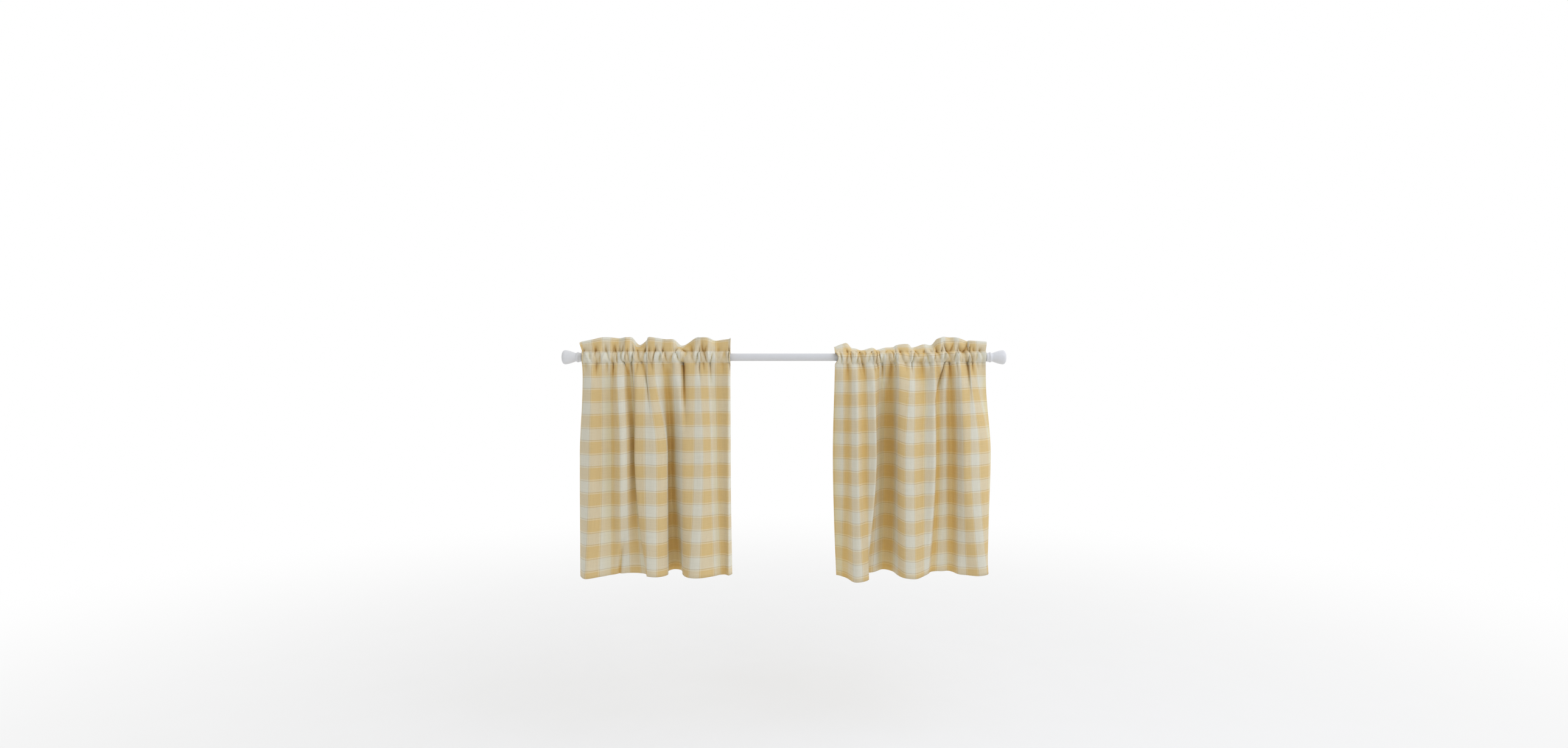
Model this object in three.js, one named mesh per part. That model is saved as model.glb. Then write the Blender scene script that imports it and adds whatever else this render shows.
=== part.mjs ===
// A pair of tier curtains gathered on one rod. Millimetres, +Z up.
// The rod's axis is the X axis, with its middle at the origin. The curtains face -Y.
import * as THREE from "three";

// Rod and finials
const rodRadius = 9.5;
const rodSides = 40;
const tipX = 560.5;
const finialLength = 50;
const socketDepth = 12;
const socketGap = 0.3;
const finialSides = 36;

// Outline of a finial: distance from its tip, radius
const finialOutline = [
  { fromTip: 0, radius: 0 },
  { fromTip: 0.4, radius: 10 },
  { fromTip: 1.4, radius: 14 },
  { fromTip: 3, radius: 16.6 },
  { fromTip: 5, radius: 17.8 },
  { fromTip: 7.5, radius: 18.2 },
  { fromTip: 11, radius: 17.9 },
  { fromTip: 16, radius: 16.8 },
  { fromTip: 22, radius: 15.1 },
  { fromTip: 27, radius: 13.4 },
  { fromTip: 31, radius: 11.9 },
  { fromTip: 34, radius: 10.9 },
  { fromTip: 35.5, radius: 10.9 },
  { fromTip: 37, radius: 12.2 },
  { fromTip: 39, radius: 13 },
  { fromTip: 41, radius: 13 },
  { fromTip: 43, radius: 11.9 },
  { fromTip: 44.5, radius: 11.5 },
  { fromTip: finialLength, radius: 11.2 },
];

// Cloth, the same cut for both panels
const flatWidth = 686;
const clothThickness = 2;
const hemDrop = 550; // rod axis down to the hem
const lowSeamDrop = 17; // rod axis down to the lower pocket seam
const highSeamRise = 12.3; // rod axis up to the upper pocket seam
const seamShare = 0.45; // share of a row's drop taken by the lower seam
const stationStep = 14;

// Rod pocket: a tunnel round the rod, and the wall of cloth round the tunnel
const tunnelRadius = 12;
const tunnelDrop = 1.6;
const pocketWall = 1.6;
const puffShare = 0.3;
const gatherDepth = 9;
const mouthReach = 20;
const pocketAngles = [15, 45, 75, 105, 135, 165];

// Levels down the hanging cloth and up the header, as shares of their heights
const dropLevels = [1, 0.86, 0.72, 0.58, 0.433, 0.29, 0.16, 0.06, 0];
const headerLevels = [0, 0.35, 0.7, 1];
const middleLevel = 0.433;
const settleLevel = 0.06;
const lowerSwing = 1.6;
const headerBend = 1.3;
const flareReach = 40;

// One row for each fold line down a panel, in order across the flat cloth.
// flat: place across the flat cloth. x and depth (towards the viewer) are given at the pocket's
// lower seam (top), at the middle level (mid) and at the hem. drop: how much lower the hem hangs.
// headRise and headDepth: the header's upper edge above the seam, and towards the viewer.
const foldColumns = [
  "flat", "topX", "topDepth", "midX", "midDepth", "hemX", "hemDepth", "drop", "headRise", "headDepth",
];

const leftFolds = [
  [0, -508, -5, -519, -38, -521, -46, 7, 24, 18], // outer edge, turned back
  [31, -504.5, -3, -518, -10, -519, -18, 7, 27, 14], // outer side
  [60, -483, 5, -490, 14, -500.5, 16, 7, 32, 10], // first crest
  [96.5, -458, -4, -459, 2, -467, 0, 6, 38, 4], // slope into the shallow dip
  [125.5, -438, -6, -437, -2, -440.5, -14, 4, 38, -3], // shallow dip
  [162, -417.5, 6, -409.5, 24, -416, -20, 2, 36, -8], // second crest, fading to the hem
  [191, -401, 0, -394, 16, -393, -20, 0, 38, 7], // slope into the first trough
  [213, -391, -8, -385.5, -6, -375, -15, -1, 38, 8], // first trough
  [236, -381, -5, -377, -13, -356, -8, -1, 38, 0], // behind the first overlap
  [274, -367, 7, -372, 14, -345, 12, -1, 20, -27], // edge of the first overlap
  [293, -351, -6, -347.5, 20, -342, 28, -2, 30, -14], // shoulder
  [322, -343, -6, -319, 26, -317.5, 32, -1, 38, 4], // middle crest
  [358.5, -325, 0, -294.5, 8, -292.5, 10, -2, 37, 6], // its far shoulder
  [390, -305, -8, -297, -30, -295, -36, -2, 34, 3], // wall of the second trough
  [407, -296, -10, -291, -40, -283, -52, -2, 33, 6], // second trough
  [424, -280, 4, -278, -22, -266.5, -44, -2, 33, 4], // its rising side
  [453, -261, -4, -257, 6, -255.5, 4, -1, 18, -26], // edge of the last overlap
  [489.5, -223.5, -5, -225.5, 10, -236.5, 34, 0, 37, -5], // last rise
  [518.5, -211, -4, -203.5, 14, -211, 38, 0, 38, 6], // last crest
  [555, -191, -6, -184, 2, -174.5, 14, 0, 37, 4], // its far side
  [584, -173.5, -8, -170, -10, -160, -4, 1, 30, -12], // inner dip
  [602, -160, -3, -155, -8, -149, -6, 1, 32, -2], // floor of the dip
  [620.5, -147, 3, -140, 0, -139, 4, 1, 34, 5], // inner side
  [632, -143, 1, -137, -12, -134, -10, 2, 35, 7], // inner turn
  [686, -135.5, -5, -143.5, -52, -139.5, -36, 3, 36, 9], // inner edge, turned back
];

const rightFolds = [
  [0, 128, -3, 125, -26, 135.5, -56, 14, 14, -20], // inner edge
  [33, 148.5, 3, 150, -6, 148.5, -38, 13, 22, -20], // inner side
  [52, 160.5, -3, 161.5, -4, 161, -16, 13, 24, -22], // narrow dip
  [69.5, 170.5, 3, 170.5, 10, 173, 22, 13, 14, -28], // its far side
  [98.5, 184.5, 4, 185.5, 26, 197, 30, 11, 10, -30], // first crest
  [118, 196, -3, 198.5, 12, 211, 20, 9, 6, -32], // small dip
  [164, 226.5, 5, 231.5, 26, 209.5, -18, 6, 12, -22], // edge of the first overlap
  [188, 237, 0, 231.5, 4, 213, -37, 5, 7, -30], // behind the first overlap
  [203, 242.5, -6, 241, -20, 231, -40, 3, 8, -30], // into the wide trough
  [229.5, 256.5, -6, 257.5, -46, 255, -66, 2, 12, -24], // wide trough
  [266, 278.5, -8, 282, -26, 280, -44, 2, 14, -24], // its far end
  [295, 287, 14, 285, 12, 288, -2, 2, 19, -14], // wall of the middle crest
  [331.5, 315.5, 5, 302.5, 32, 304, 26, 3, 21, -10], // middle crest
  [360.5, 327.5, -1, 323.5, 35, 328, 30, 4, 13, -24], // its top
  [397, 356, -12, 351.5, 22, 353, 10, 1, 21, -12], // its far shoulder
  [426, 377, 10, 378, 31, 365.5, -4, -1, 20, -22], // edge of the second overlap
  [450, 387.5, -2, 388, -8, 378, -25, -2, 34, -4], // behind the second overlap
  [462.5, 394.5, -5, 397, -9, 390, -26, -3, 37, 5], // crease
  [477, 401, -1, 404, -7, 404.5, -26, -3, 39, 5], // low ridge
  [491.5, 407, 1, 412, -9, 418.5, -30, -3, 39, 2], // slope into the far trough
  [510, 418.5, -6, 427, -15, 431, -28, -1, 38, -5], // far trough
  [528, 430, 7, 438, 6, 441.5, -12, 1, 38, 3], // its rising side
  [557, 441.5, 12, 447, 30, 462, -4, 2, 36, 5], // wall of the last crest
  [593.5, 464, -5, 466, 32, 490.5, 12, 1, 29, -13], // last crest
  [622.5, 472.5, -2, 487, 28, 513.5, 2, 0, 30, 0], // its far side
  [659, 483, 3, 518, 0, 523, -32, 0, 29, 7], // outer turn
  [686, 508, 0, 530, -30, 524, -57, 0, 27, 6], // outer edge, turned back
];

// Each panel: its fold rows, how far the pocket's mouths draw in from the two side edges, and how far
// the header's upper corners flare past them
const leftPanel = { folds: leftFolds, mouths: [0, 3], flares: [-9, 1] };
const rightPanel = { folds: rightFolds, mouths: [8, 0], flares: [0, 3] };

function namedRows(rows) {
  return rows.map((row) => Object.fromEntries(foldColumns.map((name, i) => [name, row[i]])));
}

// Smooth curve through one column of a table, along the flat cloth
function slopeAt(rows, i, pick) {
  const first = Math.max(0, i - 1);
  const last = Math.min(rows.length - 1, i + 1);
  const steps = [];
  for (let k = first; k < last; k += 1) {
    const run = rows[k + 1].flat - rows[k].flat;
    steps.push({ run, rate: (pick(rows[k + 1]) - pick(rows[k])) / run });
  }
  if (steps.length === 1) return steps[0].rate;
  const [before, after] = steps;
  return (before.rate * after.run + after.rate * before.run) / (before.run + after.run);
}

function along(rows, flat, pick) {
  let i = 0;
  while (i < rows.length - 2 && flat > rows[i + 1].flat) i += 1;
  const run = rows[i + 1].flat - rows[i].flat;
  const t = (flat - rows[i].flat) / run;
  const start = pick(rows[i]);
  const end = pick(rows[i + 1]);
  const t2 = t * t;
  const t3 = t2 * t;
  const bend = (t3 - 2 * t2 + t) * slopeAt(rows, i, pick) + (t3 - t2) * slopeAt(rows, i + 1, pick);
  return start + (3 * t2 - 2 * t3) * (end - start) + run * bend;
}

// How a fold changes from the pocket, past the middle level, to the hem
function hang(top, middle, hem, level) {
  if (level <= middleLevel) {
    const t = level / middleLevel;
    return top + (middle - top) * t * (2 - t);
  }
  const t = (level - middleLevel) / (1 - middleLevel);
  return middle + (hem - middle) * Math.pow(t, lowerSwing);
}

// Middle surface of the hanging cloth and of the header
function hangingPoint(panel, flat, level) {
  const settle = 0.5 + 0.5 * Math.min(1, level / settleLevel);
  const x = along(panel.rows, flat, (row) => hang(row.topX, row.midX, row.hemX, level));
  const depth = along(panel.rows, flat, (row) => hang(row.topDepth * settle, row.midDepth, row.hemDepth, level));
  const drop = along(panel.rows, flat, (row) => row.drop);
  const high = -lowSeamDrop - seamShare * drop;
  const low = -hemDrop - drop;
  return new THREE.Vector3(x, -depth, high + (low - high) * level);
}

function headerPoint(panel, flat, level) {
  const flare =
    panel.flares[0] * Math.exp(-flat / flareReach) + panel.flares[1] * Math.exp((flat - flatWidth) / flareReach);
  const x = along(panel.rows, flat, (row) => row.topX) + flare * level;
  const depth = along(panel.rows, flat, (row) => row.headDepth) * Math.pow(level, headerBend);
  const rise = along(panel.rows, flat, (row) => row.headRise) * level;
  return new THREE.Vector3(x, -depth, highSeamRise + rise);
}

// Front and back faces of the cloth, half its thickness off the middle surface
function facesAt(pointAt, panel, flat, level, upwards) {
  const reach = 0.02;
  const left = pointAt(panel, Math.max(0, flat - 1), level);
  const right = pointAt(panel, Math.min(flatWidth, flat + 1), level);
  const low = pointAt(panel, flat, Math.max(0, level - reach));
  const high = pointAt(panel, flat, Math.min(1, level + reach));
  const across = right.sub(left);
  const up = high.sub(low).multiplyScalar(upwards);
  const outward = across.cross(up).normalize().multiplyScalar(clothThickness / 2);
  const middle = pointAt(panel, flat, level);
  return { front: middle.clone().add(outward), back: middle.clone().sub(outward) };
}

// Ring of the pocket at one angle, from the bottom (0) over the front to the top (180)
function pocketPoint(panel, flat, degrees, radius, side) {
  const angle = THREE.MathUtils.degToRad(degrees);
  const inset =
    panel.mouths[0] * Math.exp(-flat / mouthReach) - panel.mouths[1] * Math.exp((flat - flatWidth) / mouthReach);
  const x = along(panel.rows, flat, (row) => row.topX) + inset * Math.sin(angle) ** 2;
  return new THREE.Vector3(x, -side * radius * Math.sin(angle), -tunnelDrop - radius * Math.cos(angle));
}

// All the points of the cloth at one place across its flat width: the outer loop runs up the front,
// over the header and down the back, and the tunnel ring runs round the rod the same way
function stationPoints(panel, flat) {
  const gather = along(panel.rows, flat, (row) => row.topDepth);
  const frontRadius = tunnelRadius + pocketWall + puffShare * (gatherDepth + gather);
  const backRadius = tunnelRadius + pocketWall + 0.5 * puffShare * (gatherDepth - gather);
  const hanging = dropLevels.map((level) => facesAt(hangingPoint, panel, flat, level, -1));
  const header = headerLevels.map((level) => facesAt(headerPoint, panel, flat, level, 1));
  const ringAngles = pocketAngles.slice(1, -1);
  const falling = [...pocketAngles].reverse();
  const outer = [
    ...hanging.map((faces) => faces.front),
    ...ringAngles.map((degrees) => pocketPoint(panel, flat, degrees, frontRadius, 1)),
    ...header.map((faces) => faces.front),
    ...header.map((faces) => faces.back).reverse(),
    ...[...ringAngles].reverse().map((degrees) => pocketPoint(panel, flat, degrees, backRadius, -1)),
    ...hanging.map((faces) => faces.back).reverse(),
  ];
  const tunnel = [
    ...pocketAngles.map((degrees) => pocketPoint(panel, flat, degrees, tunnelRadius, 1)),
    ...falling.map((degrees) => pocketPoint(panel, flat, degrees, tunnelRadius, -1)),
  ];
  return { outer, tunnel };
}

// Places across the flat cloth: every fold row, and even steps between the rows
function stationPlaces(rows) {
  const places = [0];
  for (let i = 0; i < rows.length - 1; i += 1) {
    const run = rows[i + 1].flat - rows[i].flat;
    const parts = Math.max(2, Math.round(run / stationStep));
    for (let k = 1; k <= parts; k += 1) places.push(rows[i].flat + (run * k) / parts);
  }
  return places;
}

function panelGeometry(design) {
  const panel = { ...design, rows: namedRows(design.folds) };
  const stations = stationPlaces(panel.rows).map((flat) => stationPoints(panel, flat));
  const outerCount = stations[0].outer.length;
  const tunnelCount = stations[0].tunnel.length;
  const perStation = outerCount + tunnelCount;
  const positions = stations.flatMap((s) => [...s.outer, ...s.tunnel]).flatMap((p) => p.toArray());
  const index = [];
  const quad = (a, b, c, d) => index.push(a, b, c, a, c, d);
  // The front and back faces are split along the same diagonal, so they stay a sheet's thickness apart
  const quadAt = (rising, a, b, c, d) => (rising ? quad(a, b, c, d) : quad(b, c, d, a));

  for (let i = 0; i < stations.length - 1; i += 1) {
    const here = i * perStation;
    const next = here + perStation;
    for (let p = 0; p < outerCount; p += 1) {
      const q = (p + 1) % outerCount;
      quadAt(p < outerCount / 2, here + p, next + p, next + q, here + q);
    }
    for (let p = 0; p < tunnelCount; p += 1) {
      const low = outerCount + p;
      const high = outerCount + ((p + 1) % tunnelCount);
      quadAt(p >= tunnelCount / 2, here + high, next + high, next + low, here + low);
    }
  }

  // Side edges: the hanging cloth, the wall round the tunnel, and the header
  const last = outerCount - 1;
  const seam = dropLevels.length - 1;
  const headerStart = seam + pocketAngles.length - 1;
  const headerEnd = headerStart + headerLevels.length - 1;
  const ring = [];
  for (let p = seam; p <= headerStart; p += 1) ring.push(p);
  for (let p = last - headerStart; p <= last - seam; p += 1) ring.push(p);
  const edgeQuads = [];
  for (let p = 0; p < seam; p += 1) edgeQuads.push([p, p + 1, last - p - 1, last - p]);
  for (let p = headerStart; p < headerEnd; p += 1) edgeQuads.push([p, p + 1, last - p - 1, last - p]);
  for (let k = 0; k < ring.length; k += 1) {
    const m = (k + 1) % ring.length;
    edgeQuads.push([ring[k], ring[m], outerCount + m, outerCount + k]);
  }
  const end = (stations.length - 1) * perStation;
  for (const [a, b, c, d] of edgeQuads) {
    quad(a, b, c, d);
    quad(end + d, end + c, end + b, end + a);
  }

  const geometry = new THREE.BufferGeometry();
  geometry.setAttribute("position", new THREE.Float32BufferAttribute(positions, 3));
  geometry.setIndex(index);
  geometry.computeVertexNormals();
  return geometry;
}

// A finial is turned about its axis, with a blind socket for the rod's end
function finialGeometry() {
  const socketRadius = rodRadius + socketGap;
  const floor = finialLength - socketDepth;
  const outline = finialOutline.map((step) => new THREE.Vector2(step.radius, step.fromTip));
  outline.push(new THREE.Vector2(socketRadius, finialLength));
  outline.push(new THREE.Vector2(socketRadius, floor));
  outline.push(new THREE.Vector2(0, floor));
  return new THREE.LatheGeometry(outline, finialSides);
}

function rodGeometry() {
  const end = tipX - (finialLength - socketDepth) - socketGap;
  return new THREE.CylinderGeometry(rodRadius, rodRadius, 2 * end, rodSides);
}

const cloth = new THREE.MeshStandardMaterial({ color: 0xe9cf9f, roughness: 0.9, metalness: 0 });
const whiteRod = new THREE.MeshStandardMaterial({ color: 0xdedde4, roughness: 0.4, metalness: 0 });

const curtains = new THREE.Group();

function add(name, geometry, material) {
  const mesh = new THREE.Mesh(geometry, material);
  mesh.name = name;
  curtains.add(mesh);
  return mesh;
}

add("panel_left", panelGeometry(leftPanel), cloth);
add("panel_right", panelGeometry(rightPanel), cloth);
add("rod", rodGeometry(), whiteRod).rotation.z = Math.PI / 2;

const finialLeft = add("finial_left", finialGeometry(), whiteRod);
finialLeft.position.x = -tipX;
finialLeft.rotation.z = -Math.PI / 2;

const finialRight = add("finial_right", finialGeometry(), whiteRod);
finialRight.position.x = tipX;
finialRight.rotation.z = Math.PI / 2;

export default curtains;
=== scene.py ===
import math

import bmesh
import bpy
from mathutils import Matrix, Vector, noise


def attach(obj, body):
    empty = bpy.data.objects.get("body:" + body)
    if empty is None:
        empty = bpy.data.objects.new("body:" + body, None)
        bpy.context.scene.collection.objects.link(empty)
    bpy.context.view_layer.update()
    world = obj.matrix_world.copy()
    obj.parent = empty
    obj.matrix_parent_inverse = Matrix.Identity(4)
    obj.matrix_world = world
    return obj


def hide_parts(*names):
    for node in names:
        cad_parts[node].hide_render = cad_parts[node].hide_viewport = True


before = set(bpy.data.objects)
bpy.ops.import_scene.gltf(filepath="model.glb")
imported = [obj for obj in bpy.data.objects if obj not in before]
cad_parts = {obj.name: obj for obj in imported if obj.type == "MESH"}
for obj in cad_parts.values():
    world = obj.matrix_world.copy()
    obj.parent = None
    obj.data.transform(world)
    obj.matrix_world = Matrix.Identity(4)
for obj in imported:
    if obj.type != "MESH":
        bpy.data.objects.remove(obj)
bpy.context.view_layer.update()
mm = 0.001
scene = bpy.context.scene
print("solids loaded")


# ways of wiring nodes that every material here uses
floatSocket, colourSocket = "NodeSocketFloat", "NodeSocketColor"


def addNode(tree, kind, **settings):
    node = tree.nodes.new(kind)
    for name, value in settings.items():
        setattr(node, name, value)
    return node


def plug(tree, source, socket):
    if hasattr(source, "is_output"):
        tree.links.new(source, socket)
    else:
        socket.default_value = source


def sums(tree, operation, first, second=0.0, third=None):
    node = addNode(tree, "ShaderNodeMath", operation=operation)
    plug(tree, first, node.inputs[0])
    plug(tree, second, node.inputs[1])
    if third is not None:
        plug(tree, third, node.inputs[2])
    return node.outputs[0]


def blend(tree, share, first, second, way="MIX"):
    node = addNode(tree, "ShaderNodeMix", data_type="RGBA", blend_type=way)
    plug(tree, share, node.inputs["Factor"])
    plug(tree, first, node.inputs["A"])
    plug(tree, second, node.inputs["B"])
    return node.outputs["Result"]


def ramp(tree, value, low, high, first=0.0, last=1.0):
    node = addNode(tree, "ShaderNodeMapRange", interpolation_type="SMOOTHSTEP")
    given = {"Value": value, "From Min": low, "From Max": high, "To Min": first, "To Max": last}
    for name, source in given.items():
        plug(tree, source, node.inputs[name])
    return node.outputs["Result"]


def cloudy(tree, vector, scale, detail=2.0, rough=0.5):
    node = addNode(tree, "ShaderNodeTexNoise")
    plug(tree, vector, node.inputs["Vector"])
    node.inputs["Scale"].default_value = scale
    node.inputs["Detail"].default_value = detail
    node.inputs["Roughness"].default_value = rough
    return node.outputs["Fac"]


def newGroup(name, inputs, outputs):
    tree = bpy.data.node_groups.new(name, "ShaderNodeTree")
    for label, kind in inputs.items():
        tree.interface.new_socket(label, in_out="INPUT", socket_type=kind)
    for label, kind in outputs.items():
        tree.interface.new_socket(label, in_out="OUTPUT", socket_type=kind)
    return tree, addNode(tree, "NodeGroupInput").outputs, addNode(tree, "NodeGroupOutput").inputs


def useGroup(tree, group, **values):
    node = addNode(tree, "ShaderNodeGroup", node_tree=group)
    for label, value in values.items():
        plug(tree, value, node.inputs[label])
    return node.outputs


def newMaterial(name, **values):
    material = bpy.data.materials.new(name)
    material.use_nodes = True
    shader = material.node_tree.nodes["Principled BSDF"]
    for label, value in values.items():
        shader.inputs[label].default_value = value
    return material, material.node_tree, shader


def addBump(tree, shader, height, strength, distance):
    bump = addNode(tree, "ShaderNodeBump")
    bump.inputs["Strength"].default_value = strength
    bump.inputs["Distance"].default_value = distance
    plug(tree, height, bump.inputs["Height"])
    plug(tree, bump.outputs["Normal"], shader.inputs["Normal"])


# woven check: the same stripes run across and down, in millimetres of flat cloth
check = {
    "repeat": 65.5, "paleStripe": 29.0, "edgeLine": 1.0, "creamLine": 2.9,
    "pale": (0.730, 0.705, 0.590, 1), "amber": (0.690, 0.510, 0.240, 1),
    "brown": (0.540, 0.430, 0.270, 1), "cream": (0.790, 0.700, 0.500, 1),
    "downStart": 41.3,                        # the first pale row below the top edge
    "linesDown": 0.55, "linesAcross": 0.9,    # how strongly the fine lines show
    "threadPitch": 0.62, "threadShow": 0.22, "threadEdge": 0.25,
    "slubFine": 1.1, "slubLong": 0.02,        # how fast a slub changes across its thread and along it
    "slubRange": (0.3, 0.7), "slubShade": (0.93, 1.05), "slubRoughness": (0.92, 0.82), "slubHeight": 0.8,
    "stitchColour": (0.78, 0.72, 0.60, 1), "stitchShow": 0.6, "stitchHeight": 1.6, "stitchLength": 2.6,
    "stitchSide": (0.3, 0.55), "stitchEnd": (0.33, 0.42),   # where a stitch starts to fade, and is gone
    "relief": (0.35, 0.00012),                # strength, metres
    "hollowPaintedShade": (1.01, 0.92, 0.68, 1),      # painted shade: a warm darker tint multiplied into the colour in the cloth's hollows, standing in for light that passed through the cloth into its hollows
}


def stripeGroup():
    tree, given, result = newGroup("stripe threads", {"Place": floatSocket, "Lines": floatSocket},
                                   {"Colour": colourSocket})
    repeat, pale = check["repeat"], check["paleStripe"]
    edge, cream = check["edgeLine"], check["creamLine"]
    within = sums(tree, "WRAP", sums(tree, "DIVIDE", given["Place"], repeat), 1.0, 0.0)
    broad = [(0, "pale"), (pale, "amber")]
    lined = [(0, "brown"), (edge, "pale"), (pale - edge, "brown"), (pale + edge, "cream"),
             (pale + edge + cream, "amber"), (repeat - edge - cream, "cream"), (repeat - edge, "brown")]
    colours = []
    for stops in (broad, lined):
        bands = addNode(tree, "ShaderNodeValToRGB")
        bands.color_ramp.interpolation = "CONSTANT"
        elements = bands.color_ramp.elements
        elements.remove(elements[-1])
        elements[0].color = check[stops[0][1]]
        for place, colour in stops[1:]:
            elements.new(place / repeat).color = check[colour]
        plug(tree, within, bands.inputs["Fac"])
        colours.append(bands.outputs["Color"])
    plug(tree, blend(tree, given["Lines"], *colours), result["Colour"])
    return tree


def weaveGroup():
    tree, given, result = newGroup("plain weave", {"Across": floatSocket, "Down": floatSocket},
                                   {"Over": floatSocket, "Height": floatSocket, "Slub": floatSocket})
    turn = math.pi / check["threadPitch"]
    warp = sums(tree, "SINE", sums(tree, "MULTIPLY", given["Across"], turn))
    weft = sums(tree, "SINE", sums(tree, "MULTIPLY", given["Down"], turn))
    over = ramp(tree, sums(tree, "MULTIPLY", warp, weft), -check["threadEdge"], check["threadEdge"])
    warpRound = sums(tree, "MULTIPLY", sums(tree, "MULTIPLY", warp, warp), over)
    weftRound = sums(tree, "MULTIPLY", sums(tree, "MULTIPLY", weft, weft), sums(tree, "SUBTRACT", 1.0, over))
    plug(tree, over, result["Over"])
    plug(tree, sums(tree, "ADD", warpRound, weftRound), result["Height"])
    # threads a little thicker and thinner along their own length
    slubs = []
    fine, long = check["slubFine"], check["slubLong"]
    for acrossPace, downPace in ((fine, long), (long, fine)):
        spread = addNode(tree, "ShaderNodeCombineXYZ")
        plug(tree, sums(tree, "MULTIPLY", given["Across"], acrossPace), spread.inputs["X"])
        plug(tree, sums(tree, "MULTIPLY", given["Down"], downPace), spread.inputs["Y"])
        slubs.append(cloudy(tree, spread.outputs["Vector"], 1.0, rough=0.6))
    plug(tree, sums(tree, "MULTIPLY", sums(tree, "ADD", slubs[0], slubs[1]), 0.5), result["Slub"])
    return tree


def stitchGroup():
    tree, given, result = newGroup("stitch row", {"Off Row": floatSocket, "Along": floatSocket},
                                   {"Mask": floatSocket})
    onRow = ramp(tree, sums(tree, "ABSOLUTE", given["Off Row"]), *check["stitchSide"], 1.0, 0.0)
    step = sums(tree, "WRAP", sums(tree, "DIVIDE", given["Along"], check["stitchLength"]), 1.0, 0.0)
    fromMiddle = sums(tree, "ABSOLUTE", sums(tree, "SUBTRACT", step, 0.5))
    onStitch = ramp(tree, fromMiddle, *check["stitchEnd"], 1.0, 0.0)
    plug(tree, sums(tree, "MULTIPLY", onRow, onStitch), result["Mask"])
    return tree


def clothMaterial(name, side, groups):
    material, tree, shader = newMaterial(name, **{
        "Specular IOR Level": 0.18, "Sheen Weight": 0.08, "Sheen Roughness": 0.55})
    chart = addNode(tree, "ShaderNodeUVMap", uv_map="flat cloth")
    parts = addNode(tree, "ShaderNodeSeparateXYZ")
    plug(tree, chart.outputs["UV"], parts.inputs["Vector"])
    across = sums(tree, "MULTIPLY_ADD", parts.outputs["X"], 1 / mm, -curtain["chartAcross"])
    down = sums(tree, "MULTIPLY_ADD", parts.outputs["Y"], 1 / mm, -curtain["chartDown"])
    stripes, weave, stitches = groups
    warpColour = useGroup(tree, stripes, Place=across, Lines=check["linesDown"])["Colour"]
    lowered = addNode(tree, "ShaderNodeAttribute", attribute_name="lowered").outputs["Fac"]
    downCheck = sums(tree, "SUBTRACT", sums(tree, "SUBTRACT", down, lowered), check["downStart"])
    weftColour = useGroup(tree, stripes, Place=downCheck, Lines=check["linesAcross"])["Colour"]
    threads = useGroup(tree, weave, Across=across, Down=down)
    show = check["threadShow"]
    share = sums(tree, "MULTIPLY_ADD", threads["Over"], show * 2, 0.5 - show)
    colour = blend(tree, share, weftColour, warpColour)
    shade = ramp(tree, threads["Slub"], *check["slubRange"], *check["slubShade"])
    tone = addNode(tree, "ShaderNodeCombineColor")
    for label in ("Red", "Green", "Blue"):
        plug(tree, shade, tone.inputs[label])
    colour = blend(tree, 1.0, colour, tone.outputs["Color"], "MULTIPLY")
    # painted shade: colour darkened and warmed where the cloth lies behind its neighbours, read from the
    # attribute; side picks the front's or the back's hollows
    hollowShade = addNode(tree, "ShaderNodeAttribute", attribute_name="hollowShade").outputs["Fac"]
    colour = blend(tree, sums(tree, "MULTIPLY", hollowShade, side), colour, check["hollowPaintedShade"], "MULTIPLY")
    # both seams of the pocket, front and back, and the hem
    distance = sums(tree, "ABSOLUTE", down)
    pocketEnd = curtain["header"] + curtain["pocket"]
    sewn = None
    for row in (curtain["header"], pocketEnd, pocketEnd + curtain["drop"] - curtain["bottomHem"]):
        offRow = sums(tree, "SUBTRACT", distance, row)
        mask = useGroup(tree, stitches, **{"Off Row": offRow, "Along": across})["Mask"]
        sewn = mask if sewn is None else sums(tree, "MAXIMUM", sewn, mask)
    colour = blend(tree, sums(tree, "MULTIPLY", sewn, check["stitchShow"]), colour, check["stitchColour"])
    plug(tree, colour, shader.inputs["Base Color"])
    roughness = ramp(tree, threads["Slub"], *check["slubRange"], *check["slubRoughness"])
    plug(tree, roughness, shader.inputs["Roughness"])
    threadHeight = sums(tree, "MULTIPLY_ADD", threads["Slub"], check["slubHeight"], threads["Height"])
    height = sums(tree, "ADD", threadHeight, sums(tree, "MULTIPLY", sewn, check["stitchHeight"]))
    addBump(tree, shader, height, *check["relief"])
    return material


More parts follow.
